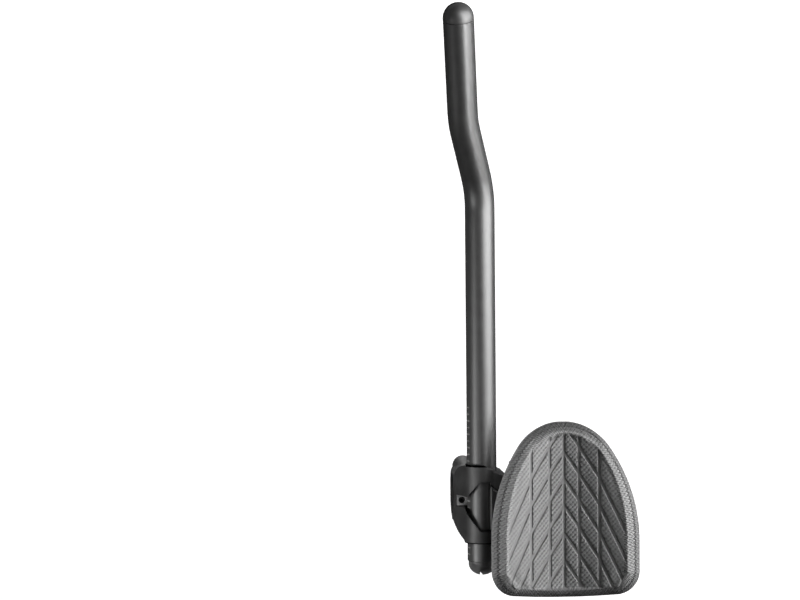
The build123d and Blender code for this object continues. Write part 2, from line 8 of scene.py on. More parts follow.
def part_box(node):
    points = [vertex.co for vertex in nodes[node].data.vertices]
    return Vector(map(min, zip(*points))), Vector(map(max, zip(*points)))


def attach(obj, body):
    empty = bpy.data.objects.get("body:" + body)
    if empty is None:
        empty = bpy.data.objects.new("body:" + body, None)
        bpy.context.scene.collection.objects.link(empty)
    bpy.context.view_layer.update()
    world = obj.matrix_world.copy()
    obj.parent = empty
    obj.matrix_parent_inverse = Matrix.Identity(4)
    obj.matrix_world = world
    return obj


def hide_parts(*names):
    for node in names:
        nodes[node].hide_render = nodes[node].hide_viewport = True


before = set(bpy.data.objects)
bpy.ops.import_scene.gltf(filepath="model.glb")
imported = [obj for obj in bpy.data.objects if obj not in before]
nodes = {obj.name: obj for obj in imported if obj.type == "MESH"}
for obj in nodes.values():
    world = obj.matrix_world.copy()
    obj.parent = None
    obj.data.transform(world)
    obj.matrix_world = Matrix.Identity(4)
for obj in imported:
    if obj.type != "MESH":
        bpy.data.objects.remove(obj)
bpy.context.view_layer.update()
scene = bpy.context.scene
bpy.ops.object.select_all(action="DESELECT")

# Bracket body and lower clamp half: forged aluminium, blasted and anodised satin black.
# The halves close round the handlebar, and the upper one carries the tube, its binder and the armrest.
# A painted shadow line runs round both mouths of the tube's bore: a near-black band without gloss, standing
# in for the shade in the gap between ring and tube.
CLOUD_LOW = 0.3
CLOUD_HIGH = 0.7
CLOUD_GRAINS = 12
CLOUD_DETAIL = 5.0
GRAIN_DETAIL = 3.0
GRAIN_STRENGTH = 0.6
EDGE_SAMPLES = 6


def shade(level):
    """A neutral grey as a colour."""
    return (level, level, level, 1.0)


def feed(tree, node, inputs):
    """Sets inputs of a node: each gets a value, or a link from another node's output."""
    for name, value in inputs.items():
        if isinstance(value, bpy.types.NodeSocket):
            tree.links.new(value, node.inputs[name])
        else:
            node.inputs[name].default_value = value


def add(tree, kind, inputs, **settings):
    """Adds a shader node with its settings and inputs."""
    node = tree.nodes.new("ShaderNode" + kind)
    for name, value in settings.items():
        setattr(node, name, value)
    feed(tree, node, inputs)
    return node


def sums(tree, operation, first, second=0.0):
    """One step of arithmetic on node outputs and numbers."""
    return add(tree, "Math", {0: first, 1: second}, operation=operation).outputs["Value"]


def rescale(tree, value, start, end, first=0.0, last=1.0):
    """A number that runs from first to last while a value runs from start to end."""
    node = add(tree, "MapRange", {
        "Value": value, "From Min": start, "From Max": end, "To Min": first, "To Max": last})
    return node.outputs["Result"]


def ramp(tree, value, low, high, dark, light):
    """A grey that runs from dark to light while a value runs from low to high."""
    node = add(tree, "ValToRGB", {"Fac": value})
    first, last = node.color_ramp.elements
    first.position = low
    first.color = shade(dark)
    last.position = high
    last.color = shade(light)
    return node.outputs["Color"]


def blend_colour(tree, share, first, second):
    """A mix of two colours: the first where the share is 0, the second where it is 1."""
    return add(tree, "Mix", {0: share, 6: first, 7: second}, data_type="RGBA").outputs[2]


def object_place(tree):
    """The place of a point in the part's own frame, in metres."""
    return add(tree, "TexCoord", {}).outputs["Object"]


def split(tree, vector):
    """The outputs X, Y and Z of a vector."""
    return add(tree, "SeparateXYZ", {"Vector": vector}).outputs


def finish(material, inputs):
    """Sets inputs of a material's shader."""
    tree = material.node_tree
    feed(tree, tree.nodes["Principled BSDF"], inputs)


def satin(name, dark, light, rough, grain, depth, edge):
    """A finish with mottled colour, uneven gloss, a fine grain and softly broken edges.

    dark and light are the two greys, rough the limits of roughness, grain the number of grains in a
    metre, depth their height and edge the radius of the broken edges, in metres."""
    material = bpy.data.materials.new(name)
    material.use_nodes = True
    tree = material.node_tree
    place = object_place(tree)
    cloud = add(tree, "TexNoise", {
        "Vector": place, "Scale": grain / CLOUD_GRAINS, "Detail": CLOUD_DETAIL}).outputs["Fac"]
    speck = add(tree, "TexNoise", {
        "Vector": place, "Scale": grain, "Detail": GRAIN_DETAIL}).outputs["Fac"]
    broken = add(tree, "Bevel", {"Radius": edge}, samples=EDGE_SAMPLES)
    relief = add(tree, "Bump", {
        "Strength": GRAIN_STRENGTH, "Distance": depth, "Height": speck, "Normal": broken.outputs["Normal"]})
    finish(material, {
        "Base Color": ramp(tree, cloud, CLOUD_LOW, CLOUD_HIGH, dark, light),
        "Roughness": rescale(tree, cloud, CLOUD_LOW, CLOUD_HIGH, rough[0], rough[1]),
        "Normal": relief.outputs["Normal"],
    })
    return material


def base_colour(material):
    """The output that feeds a material's colour."""
    return material.node_tree.nodes["Principled BSDF"].inputs["Base Color"].links[0].from_socket


def dress(material, *names):
    """Puts a finish on CAD nodes, in all their slots."""
    for name in names:
        data = nodes[name].data
        if not data.materials:
            data.materials.append(material)
        for index in range(len(data.materials)):
            data.materials[index] = material


TUBE_AXIS_Z = 0.034
MOUTH_FRONT = 0.0272
MOUTH_REAR = -0.0312
FRONT_SHADE_LINE = 0.0012
REAR_SHADE_LINE = 0.0007
MOUTH_HALF = 0.0125
MOUTH_SHADE_GREY = 0.002
BRACKET_SHINE = 0.9
anodised_black = satin(
    "anodised_black", dark=0.018, light=0.028, rough=(0.43, 0.51), grain=1400.0, depth=0.00004, edge=0.0009)
tree = anodised_black.node_tree
spot = split(tree, object_place(tree))
# Painted shade: a thin band round each mouth of the bore is coloured near black and loses its gloss.
at_front = sums(tree, "GREATER_THAN", spot["Y"], MOUTH_FRONT - FRONT_SHADE_LINE)
at_rear = sums(tree, "LESS_THAN", spot["Y"], MOUTH_REAR + REAR_SHADE_LINE)
in_bore = sums(tree, "LESS_THAN", sums(tree, "ABSOLUTE", spot["X"]), MOUTH_HALF)
upper_half = sums(tree, "GREATER_THAN", spot["Z"], TUBE_AXIS_Z)
mouth_shade = sums(tree, "ADD", at_front, at_rear)
for limit in (in_bore, upper_half):
    mouth_shade = sums(tree, "MULTIPLY", mouth_shade, limit)
finish(anodised_black, {
    "Base Color": blend_colour(tree, mouth_shade, base_colour(anodised_black), shade(MOUTH_SHADE_GREY)),
    "Specular IOR Level": rescale(tree, mouth_shade, 0.0, 1.0, BRACKET_SHINE, 0.0),
})
dress(anodised_black, "bracket_body", "bar_clamp_cap")

# Clamp bolts, the binder's set screw and the bolts of carrier and armrest, with their washers: steel
# with a dark satin finish, slightly uneven. They close the clamp round the handlebar, press the wedge
# on the tube and hold the armrest on the bracket.
bolt_steel = satin(
    "bolt_steel", dark=0.035, light=0.07, rough=(0.30, 0.45), grain=2200.0, depth=0.00003, edge=0.0002)
finish(bolt_steel, {"Metallic": 0.8})
dress(bolt_steel, "bar_clamp_bolts", "bar_clamp_washers", "binder_screw")
dress(bolt_steel, "carrier_bolts", "armrest_bolts", "armrest_washers")

# Extension tube: drawn aluminium, bent twice, blasted and anodised a satin mid grey.
# The bracket's two rings hold it, and it slides in them while the binder is loose. A scale of fine light
# marks is printed on its inboard flank, one every 5 mm and every second one longer.


def blend(tree, share, first, second):
    """A mix of two numbers: the first where the share is 0, the second where it is 1."""
    return add(tree, "Mix", {0: share, 2: first, 3: second}).outputs[0]


TICK_FIRST = 0.0697
TICK_PITCH = 0.005
TICK_HALF = 0.00036
TICK_LOW = 0.0026
TICK_LOW_LONG = 0.0014
TICK_HIGH = 0.0058
TICK_RUN = 0.114
TICK_GREY = 0.22
METAL_SHARE = 0.75
anodised_grey = satin(
    "anodised_grey", dark=0.126, light=0.140, rough=(0.39, 0.43), grain=1600.0, depth=0.00003, edge=0.0002)
tree = anodised_grey.node_tree
spot = split(tree, object_place(tree))
behind = sums(tree, "SUBTRACT", TICK_FIRST, spot["Y"])
count = sums(tree, "ADD", sums(tree, "DIVIDE", behind, TICK_PITCH), 0.5)
off_mark = sums(tree, "ABSOLUTE", sums(tree, "SUBTRACT", sums(tree, "FRACT", count), 0.5))
second_one = sums(tree, "LESS_THAN", sums(tree, "FRACT", sums(tree, "DIVIDE", count, 2.0)), 0.5)
lift = sums(tree, "SUBTRACT", spot["Z"], TUBE_AXIS_Z)
above = sums(tree, "GREATER_THAN", lift, blend(tree, second_one, TICK_LOW, TICK_LOW_LONG))
below = sums(tree, "LESS_THAN", lift, TICK_HIGH)
inboard = sums(tree, "LESS_THAN", spot["X"], 0.0)
started = sums(tree, "GREATER_THAN", behind, -TICK_PITCH / 2)
ended = sums(tree, "LESS_THAN", behind, TICK_RUN)
marked = sums(tree, "LESS_THAN", off_mark, TICK_HALF / TICK_PITCH)
for limit in (above, below, inboard, started, ended):
    marked = sums(tree, "MULTIPLY", marked, limit)
finish(anodised_grey, {
    "Base Color": blend_colour(tree, marked, base_colour(anodised_grey), shade(TICK_GREY)),
    "Metallic": rescale(tree, marked, 0.0, 1.0, METAL_SHARE, 0.0),
    "Specular IOR Level": 0.0,
    "Specular Tint": shade(0.0),
})
dress(anodised_grey, "extension_tube")

# Front end cap: a domed plug, moulded in plastic with the tube's grey and a slightly duller gloss.
# Its skirt is pushed into the open front end of the tube, and a fine seam stays between the two.
cap_grey = satin(
    "cap_grey", dark=0.122, light=0.136, rough=(0.46, 0.52), grain=1800.0, depth=0.00004, edge=0.0003)
finish(cap_grey, {"Metallic": METAL_SHARE, "Specular IOR Level": 0.0, "Specular Tint": shade(0.0)})
dress(cap_grey, "front_end_cap")

# Rear end plug: moulded black plastic with a fine spark-eroded grain, a bullet nose and a sunk facet.
# Its skirt is pushed into the rear end of the tube, so it slides along with it.
plug_black = satin(
    "plug_black", dark=0.062, light=0.080, rough=(0.46, 0.56), grain=1500.0, depth=0.00006, edge=0.0004)
finish(plug_black, {"Specular IOR Level": 0.9})
dress(plug_black, "rear_end_plug")

# Binder wedge: a small block of aluminium, blasted and left a bright satin.
# It sits in the neck of the bracket's window, where its set screw draws it against the tube.
wedge_metal = satin(
    "wedge_metal", dark=0.62, light=0.72, rough=(0.55, 0.65), grain=2000.0, depth=0.00003, edge=0.0003)
finish(wedge_metal, {"Metallic": 0.5})
dress(wedge_metal, "binder_wedge")

# Armrest carrier: aluminium plate, milled and anodised satin black.
# Two countersunk bolts hold it in the seat of the bracket's shoulder, and the cup is bolted on it.
carrier_black = satin(
    "carrier_black", dark=0.016, light=0.026, rough=(0.34, 0.44), grain=1400.0, depth=0.00004, edge=0.0007)
finish(carrier_black, {"Specular IOR Level": 0.9})
dress(carrier_black, "armrest_carrier")

# Armrest cup: a dished shell, moulded in black plastic with a fine grain.
# Two low-headed bolts with washers hold it on the carrier, and the pad lies in it.
cup_plastic = satin(
    "cup_plastic", dark=0.018, light=0.028, rough=(0.45, 0.6), grain=1100.0, depth=0.00010, edge=0.0006)
dress(cup_plastic, "armrest_cup")

# Self-gripping patches and the pad's backing: woven tape with a pile of hooks, glued into the cup,
# and a brushed cloth with a pile of loops under the pad, which the hooks hold.
grip_tape = satin(
    "grip_tape", dark=0.012, light=0.03, rough=(0.8, 0.95), grain=900.0, depth=0.0005, edge=0.0002)
dress(grip_tape, "hook_patches")
pad_backing = satin(
    "pad_backing", dark=0.02, light=0.05, rough=(0.85, 1.0), grain=1300.0, depth=0.0004, edge=0.0002)
dress(pad_backing, "loop_backing")

# Armrest pad: moulded foam under a knitted mesh, held in the cup by its backing. A rounded rim runs round
# a sunken floor with a tread of lozenges between smooth grooves, five of them upright, the others chevrons.
# A coarse skin is blown up as cloth first, and a fine net takes over its swelling and adds the tread.
MM = 0.001

# The shape is in millimetres, from the middle of the pad's front edge and from the frame's height zero.
PAD_FRONT_R = 40.0
PAD_WIDEST = 86.0
PAD_CORNER_R = 18.0
PAD_REAR_R = 300.0
pad_low, pad_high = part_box("armrest_pad")
pad_x = (pad_low.x + pad_high.x) / 2 / MM
pad_front = pad_high.y / MM
pad_length = (pad_high.y - pad_low.y) / MM
pad_half = (pad_high.x - pad_low.x) / 2 / MM
side_r = (pad_half ** 2 + PAD_WIDEST ** 2 - 2 * PAD_WIDEST * PAD_FRONT_R) / (2 * (pad_half - PAD_FRONT_R))
corner_x = pad_half - PAD_CORNER_R
corner_y = pad_length - PAD_REAR_R + math.sqrt((PAD_REAR_R - PAD_CORNER_R) ** 2 - corner_x ** 2)
front_turn = math.atan2(PAD_WIDEST - PAD_FRONT_R, side_r - pad_half)
rear_turn = math.atan2(corner_x, corner_y + PAD_REAR_R - pad_length)

# Right half of the outline as arcs: centre, radius, first and last angle from straight ahead.
# A straight run joins the second and the third.
arcs = [
    ((0.0, -PAD_FRONT_R), PAD_FRONT_R, 0.0, math.pi / 2 - front_turn),
    ((pad_half - side_r, -PAD_WIDEST), side_r, math.pi / 2 - front_turn, math.pi / 2),
    ((corner_x, -corner_y), PAD_CORNER_R, math.pi / 2, math.pi - rear_turn),
    ((0.0, PAD_REAR_R - pad_length), PAD_REAR_R, math.pi - rear_turn, math.pi),
]
FRONT_FLAT = 4.0
REAR_FLAT = 12.0
ARC_STEPS = 3
RUN_STEPS = 2


def outline_points(step):
    """Points down the right half of the outline, from a short flat at the front to one at the rear."""
    points = []
    for (cx, cy), radius, first, last in arcs:
        count = max(ARC_STEPS, int(radius * (last - first) / step))
        for angle in np.linspace(first, last, count, endpoint=False):
            points.append((cx + radius * math.sin(angle), cy + radius * math.cos(angle)))
        if radius == side_r:
            count = max(RUN_STEPS, int((corner_y - PAD_WIDEST) / step))
            for y in np.linspace(-PAD_WIDEST, -corner_y, count, endpoint=False):
                points.append((pad_half, y))
    run = np.array(points)
    flat = np.where(run[:, 1] > -PAD_WIDEST, FRONT_FLAT, REAR_FLAT)
    return run[run[:, 0] > flat]


RIM_SIDE = 9.8
RIM_FRONT = 6.9
RIM_REAR = 5.7
RIM_CORNER = 2.6
FRONT_TAPER = 12.0
REAR_TAPER = 2.0
FAR_AWAY = 1000.0
ANGLE_SLACK = 1e-6


def edge_distance(x, y):
    """How far points lie inside the outline, how far along it their nearest edge is, how much of a side
    that edge is, 1 at the sides and 0 at the front and rear, and how wide the rim is there."""
    x = np.abs(x)
    inside = np.full(x.shape, FAR_AWAY)
    along = np.zeros(x.shape)
    sideways = np.zeros(x.shape)
    corner = np.zeros(x.shape)
    start = 0.0
    for (cx, cy), radius, first, last in arcs:
        angle = np.arctan2(x - cx, y - cy)
        gap = radius - np.hypot(x - cx, y - cy)
        hit = (angle >= first - ANGLE_SLACK) & (angle <= last + ANGLE_SLACK) & (gap < inside)
        inside = np.where(hit, gap, inside)
        along = np.where(hit, start + radius * (angle - first), along)
        sideways = np.where(hit, np.sin(angle), sideways)
        if radius == PAD_CORNER_R:
            corner = np.where(hit, np.sin(np.pi * (angle - first) / (last - first)), corner)
        start += radius * (last - first)
        if radius == side_r:
            gap = pad_half - x
            hit = (y <= -PAD_WIDEST) & (y >= -corner_y) & (gap < inside)
            inside = np.where(hit, gap, inside)
            along = np.where(hit, start - PAD_WIDEST - y, along)
            sideways = np.where(hit, 1.0, sideways)
            start += corner_y - PAD_WIDEST
    end = np.where(y > -PAD_WIDEST, RIM_FRONT, RIM_REAR)
    taper = np.where(y > -PAD_WIDEST, FRONT_TAPER, REAR_TAPER)
    width = end + (RIM_SIDE - end) * sideways ** taper + RIM_CORNER * corner
    return inside, along, sideways, width


def ease(value, low, high):
    """Smooth step from 0 at low to 1 at high."""
    t = np.clip((value - low) / (high - low), 0.0, 1.0)
    return t * t * (3 - 2 * t)


TROUGH_AXIS_Z = 185.1
UNDER_R = 128.25
FLOOR_LOW_Z = 65.2
WING_SLOPE = 0.44
WING_START = 8.0
WING_ROUND = 10.0


def trough_z(x, radius):
    """Height of the trough's surface at a distance from its middle."""
    return TROUGH_AXIS_Z - np.sqrt(radius ** 2 - x ** 2)


def floor_z(x):
    """Height of the sunken floor: two straight wings with a round trough between them."""
    reach = np.abs(x) - WING_START
    low = math.hypot(WING_START, WING_ROUND) - WING_START
    return FLOOR_LOW_Z + WING_SLOPE * (np.hypot(reach, WING_ROUND) + reach - low) / 2


CHEVRONS = 7
CHEVRON_START = 1.4
CHEVRON_PITCH = 20.0
COLUMNS = (10.8, 25.0)
SLOPES = (1.48, 1.6, 2.15)


def groove_gap(x, y):
    """Distance from the middle line of the nearest groove."""
    side = np.abs(x)
    gap = np.minimum(side, np.minimum(np.abs(side - COLUMNS[0]), np.abs(side - COLUMNS[1])))
    drop = SLOPES[0] * np.minimum(side, COLUMNS[0])
    drop += SLOPES[1] * np.clip(side - COLUMNS[0], 0.0, COLUMNS[1] - COLUMNS[0])
    drop += SLOPES[2] * np.maximum(side - COLUMNS[1], 0.0)
    slope = np.where(side < COLUMNS[0], SLOPES[0], np.where(side < COLUMNS[1], SLOPES[1], SLOPES[2]))
    for k in range(CHEVRONS):
        line = -CHEVRON_START - CHEVRON_PITCH * k - drop
        gap = np.minimum(gap, np.abs(y - line) / np.sqrt(1 + slope ** 2))
    return gap


RIM_R = 115.25
RIM_RISE = 2.4
RIM_FOOT = 1.30
FRONT_FOOT = 0.3
FRONT_SINK = 1.5
FRONT_LIFT = 1.6
FRONT_RUN = 30.0
SHOULDER_LEAN = 1.2
SHOULDER_DROP = 4.4
SEAM_AT = 0.43
SEAM_WIDTH = 0.07
SEAM_DEPTH = 0.35
GROOVE_W = 2.3
GROOVE_DEPTH = 1.08
OUTER_SHALLOW = 0.5
OUTER_END = 40.0
WALL = 0.24
PILLOW = 0.35
PILLOW_RUN = 1.6
END_SHADE_FROM = 0.7
END_SHADE_TO = 1.05


def pad_top(x, y):
    """Heights of the plain upper side and depth of the tread in it, and for the mesh its lay and the
    share of painted shade on the rim round the front and rear ends. The lay is the way along the edge, the
    place across the rim, 0 at the edge and 1 at the crest, and a share that is 0 in a groove and 1
    elsewhere."""
    inside, along, sideways, width = edge_distance(x, y)
    place = inside / width
    crest_x = np.abs(x) - sideways * np.maximum(width - inside, 0.0)
    outward = np.clip(1 - place, 0.0, 1.0)
    drop = SHOULDER_LEAN * outward + SHOULDER_DROP * (1 - np.sqrt(1 - outward ** 2))
    seam = SEAM_DEPTH * np.exp(-((place - SEAM_AT) / SEAM_WIDTH) ** 2)
    ahead = np.where(y > -PAD_WIDEST, 1 - sideways ** 2, 0.0)
    rim = trough_z(crest_x, RIM_R) + RIM_RISE * sideways ** 2 - FRONT_SINK * ahead - drop - seam
    floor = floor_z(x) + FRONT_LIFT * ease(y, -FRONT_RUN, 0.0)
    foot = RIM_FOOT + FRONT_FOOT * ahead
    share = 1 - ease(place, 1.0, foot)
    gap = groove_gap(x, y)
    lozenge = ease(gap, GROOVE_W / 2 - WALL, GROOVE_W / 2 + WALL)
    crown = PILLOW * np.exp(-np.maximum(gap - GROOVE_W / 2, 0.0) / PILLOW_RUN)
    level = 1 - OUTER_SHALLOW * ease(np.abs(x), COLUMNS[1], OUTER_END)
    tread = (1 - share) * level * (GROOVE_DEPTH * (1 - lozenge) + crown * lozenge)
    lay = np.stack([along, place, np.maximum(lozenge, share)], axis=-1)
    # Painted shade: the rim is darkened round the front and rear ends, by this share.
    end_shade = share * (1 - sideways ** 2) * (1 - ahead * ease(place, END_SHADE_FROM, END_SHADE_TO))
    return floor * (1 - share) + rim * share, tread, lay, end_shade


def pad_net(step, columns):
    """Places of a net on the upper side: rows across the pad, cut into columns."""
    run = outline_points(step)
    share = np.linspace(-1.0, 1.0, columns + 1)
    return run[:, :1] * share, np.repeat(run[:, 1:], columns + 1, axis=1), share


def quads(*corners):
    """Four-cornered faces from arrays of their corners."""
    return np.stack(corners, axis=-1).reshape(-1, 4)


SIDE_RINGS = 6


def closed_skin(x, y, z):
    """A closed mesh from a net of the upper side: walls round its border and an underside."""
    rows, across = x.shape
    grid = np.arange(rows * across).reshape(rows, across)
    loop = np.concatenate([grid[:, -1], grid[-1, -2:0:-1], grid[::-1, 0], grid[0, 1:-1]])
    top = np.stack([x, y, z], axis=-1).reshape(-1, 3)
    foot = trough_z(top[loop, 0], UNDER_R)
    points = [top]
    cells = [quads(grid[:-1, :-1], grid[1:, :-1], grid[1:, 1:], grid[:-1, 1:])]
    above = loop
    for ring in range(1, SIDE_RINGS + 1):
        level = top[loop].copy()
        level[:, 2] += (foot - level[:, 2]) * ring / SIDE_RINGS
        below = len(top) + (ring - 1) * len(loop) + np.arange(len(loop))
        points.append(level)
        cells.append(quads(above, np.roll(above, -1), np.roll(below, -1), below))
        above = below
    under = np.stack([x, y, trough_z(x, UNDER_R)], axis=-1)[1:-1, 1:-1].reshape(-1, 3)
    first_under = len(top) + SIDE_RINGS * len(loop)
    base = grid.copy()
    base[1:-1, 1:-1] = first_under + np.arange(len(under)).reshape(rows - 2, across - 2)
    base.flat[loop] = above
    points.append(under)
    cells.append(quads(base[:-1, :-1], base[:-1, 1:], base[1:, 1:], base[1:, :-1]))
    return np.concatenate(points), np.concatenate(cells), loop


def pad_object(name, points, cells):
    """A mesh object of the pad in the part's own place, in metres."""
    mesh = bpy.data.meshes.new(name)
    mesh.from_pydata(((points + (pad_x, pad_front, 0.0)) * MM).tolist(), [], cells.tolist())
    mesh.update()
    body = bpy.data.objects.new(name, mesh)
    scene.collection.objects.link(body)
    return body


SKIN_STEP = 4.5
SKIN_COLUMNS = 26
SWELL_PRESSURE = 4.0
SWELL_LIMIT = 0.9
SWELL_FRAMES = 20
skin_x, skin_y, skin_share = pad_net(SKIN_STEP, SKIN_COLUMNS)
swell = np.zeros(skin_x.shape)
skin_points, skin_cells, skin_loop = closed_skin(skin_x, skin_y, pad_top(skin_x, skin_y)[0])
skin = pad_object("pad_skin", skin_points, skin_cells)
held = skin.vertex_groups.new(name="held")
held.add([int(i) for i in skin_loop] + list(range(skin_x.size, len(skin_points))), 1.0, "REPLACE")
cloth = skin.modifiers.new("blown_up", "CLOTH")
cloth.settings.vertex_group_mass = "held"
cloth.settings.use_pressure = True
cloth.settings.uniform_pressure_force = SWELL_PRESSURE
cloth.settings.effector_weights.gravity = 0.0
cloth.point_cache.frame_start = 1
cloth.point_cache.frame_end = SWELL_FRAMES
for number in range(1, SWELL_FRAMES + 1):
    scene.frame_set(number)
blown = skin.evaluated_get(bpy.context.evaluated_depsgraph_get()).data
heights = np.array([vertex.co.z for vertex in blown.vertices])[:skin_x.size] / MM
lifted = heights - skin_points[:skin_x.size, 2]
swell = np.clip(lifted.reshape(skin_x.shape), -SWELL_LIMIT, SWELL_LIMIT)
bpy.data.objects.remove(skin)
scene.frame_set(1)

ROW_STEP = 0.42
NET_COLUMNS = 370
net_x, net_y, net_share = pad_net(ROW_STEP, NET_COLUMNS)
net_z, net_tread, net_lay, net_end_shade = pad_top(net_x, net_y)
rows_swell = np.array([np.interp(net_share, skin_share, row) for row in swell])
for column in range(NET_COLUMNS + 1):
    net_z[:, column] += np.interp(-net_y[:, 0], -skin_y[:, 0], rows_swell[:, column])
points, cells, _ = closed_skin(net_x, net_y, net_z - net_tread)
soft_pad = pad_object("armrest_pad_soft", points, cells)
pad_mesh = soft_pad.data
lay = np.zeros((len(points), 3), dtype=np.float32)
lay[:, 2] = 1.0
lay[:net_x.size] = net_lay.reshape(-1, 3)
pad_mesh.attributes.new("lay", "FLOAT_VECTOR", "POINT").data.foreach_set("vector", lay.ravel())
end_shade = np.zeros(len(points), dtype=np.float32)
end_shade[:net_x.size] = net_end_shade.ravel()
pad_mesh.attributes.new("end_shade", "FLOAT", "POINT").data.foreach_set("value", end_shade)
for polygon in pad_mesh.polygons:
    polygon.use_smooth = True

# The pad's mesh is knitted in slanting rows of loops. It is finer where it is stretched over the wings.
# On the rim it has ribs, and the grooves are pressed smooth. The rim carries painted light and shade:
# lighter inside the zigzag seam, darker outside it and towards its outer edge, and darker round the front
# and rear ends.
LOOP_WIDE = 0.0033
LOOP_LONG = 0.0037
LOOP_TURN = math.pi / 4
DASH_ACROSS = 0.34
DASH_ALONG = 0.16
STRAY_SCALE = 0.7
STRAY_DETAIL = 2.0
STRAY = 0.35
THREAD_LOW = 0.05
THREAD_HIGH = 0.75
THREAD_MEAN = 0.62
STRETCHED = 0.65
THREAD_GREY = 0.38
HOLE_GREY = 0.195
GROOVE_GREY = 0.275
SEAM_GREY = 0.08
pad_fabric = bpy.data.materials.new("pad_fabric")
pad_fabric.use_nodes = True
tree = pad_fabric.node_tree
slanting = add(tree, "Mapping", {
    "Vector": object_place(tree),
    "Rotation": (0.0, 0.0, LOOP_TURN),
    "Scale": (math.sqrt(2) / LOOP_WIDE, math.sqrt(2) / LOOP_LONG, 1.0)}).outputs["Vector"]
uneven = add(tree, "TexNoise", {
    "Vector": slanting, "Scale": STRAY_SCALE, "Detail": STRAY_DETAIL}).outputs["Fac"]
stray = sums(tree, "MULTIPLY", sums(tree, "SUBTRACT", uneven, 0.5), STRAY * math.tau)
loops = split(tree, slanting)
weave = 0.5
for axis, weight in (("X", DASH_ACROSS), ("Y", DASH_ALONG)):
    phase = sums(tree, "ADD", sums(tree, "MULTIPLY", loops[axis], math.tau), stray)
    weave = sums(tree, "ADD", sums(tree, "MULTIPLY", sums(tree, "SINE", phase), weight), weave)
coarse = rescale(tree, weave, THREAD_LOW, THREAD_HIGH)
spot = split(tree, object_place(tree))
off_middle = sums(tree, "ABSOLUTE", sums(tree, "SUBTRACT", spot["X"], pad_x * MM))
stretch = rescale(tree, off_middle, COLUMNS[0] * MM, OUTER_END * MM, 0.0, STRETCHED)
fine = blend(tree, stretch, coarse, THREAD_MEAN)

RIB_PITCH = 1.9
RIB_LEAN = 2.6
RIB_STRAY = 7.0
RIB_SHARE = 0.48
RIB_START = 1.35
RIB_FULL = 1.15
way = split(tree, add(tree, "Attribute", {}, attribute_name="lay").outputs["Vector"])
along, place, tread = way["X"], way["Y"], way["Z"]
rim = rescale(tree, place, RIB_START, RIB_FULL)
rib_turn = sums(tree, "MULTIPLY", along, math.tau / RIB_PITCH)
rib_turn = sums(tree, "ADD", rib_turn, sums(tree, "MULTIPLY", place, math.tau * RIB_LEAN))
rib_turn = sums(tree, "ADD", rib_turn, sums(tree, "MULTIPLY", uneven, RIB_STRAY))
rib = rescale(tree, sums(tree, "SINE", rib_turn), -1.0, 1.0)
height = blend(tree, rim, fine, blend(tree, RIB_SHARE, coarse, rib))

STITCH_PITCH = 3.0
STITCH_SWING = 0.09
STITCH_HALF = 0.052
STITCH_BLUR = 0.5
zigzag = sums(tree, "PINGPONG", sums(tree, "DIVIDE", along, STITCH_PITCH), 0.5)
swing = rescale(tree, zigzag, 0.0, 0.5, -STITCH_SWING, STITCH_SWING)
stitch_off = sums(tree, "ABSOLUTE", sums(tree, "SUBTRACT", sums(tree, "SUBTRACT", place, SEAM_AT), swing))
stitch = rescale(tree, stitch_off, STITCH_HALF * (1 + STITCH_BLUR), STITCH_HALF * (1 - STITCH_BLUR))

OUTER_BAND_SHADE = 0.72
INNER_BAND_LIGHT = 1.13
BAND_BLUR = 0.05
OUTER_EDGE_SHADE = 0.7
EDGE_SHADE_RUN = 0.22
END_SHADE_SHARE = 0.40
# Painted light and shade on the rim: the band inside the seam is lightened, the band outside it and the
# outer edge are darkened, and so are the front and rear ends.
painted_band = rescale(tree, place, SEAM_AT - BAND_BLUR, SEAM_AT + BAND_BLUR, OUTER_BAND_SHADE, INNER_BAND_LIGHT)
shaded_ends = add(tree, "Attribute", {}, attribute_name="end_shade").outputs["Fac"]
rim_light_and_shade = blend(tree, rim, 1.0, painted_band)
rim_light_and_shade = sums(tree, "MULTIPLY", rim_light_and_shade, rescale(tree, shaded_ends, 0.0, 1.0, 1.0, END_SHADE_SHARE))
rim_light_and_shade = sums(tree, "MULTIPLY", rim_light_and_shade, rescale(tree, place, 0.0, EDGE_SHADE_RUN, OUTER_EDGE_SHADE, 1.0))
knitted = ramp(tree, height, 0.0, 1.0, HOLE_GREY, THREAD_GREY)
knitted = add(tree, "VectorMath", {0: knitted, "Scale": rim_light_and_shade}, operation="SCALE").outputs["Vector"]
pressed = blend_colour(tree, tread, shade(GROOVE_GREY), knitted)

KNIT_STRENGTH = 0.8
KNIT_HEIGHT = 0.0005
KNIT_ROUGH = 0.8
KNIT_SHINE = 0.3
relief = add(tree, "Bump", {
    "Strength": KNIT_STRENGTH, "Distance": KNIT_HEIGHT, "Height": sums(tree, "MULTIPLY", height, tread)})
finish(pad_fabric, {
    "Base Color": blend_colour(tree, stitch, pressed, shade(SEAM_GREY)),
    "Roughness": KNIT_ROUGH,
    "Specular IOR Level": KNIT_SHINE,
    "Normal": relief.outputs["Normal"],
})
pad_mesh.materials.append(pad_fabric)
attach(soft_pad, "bracket")
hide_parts("armrest_pad")

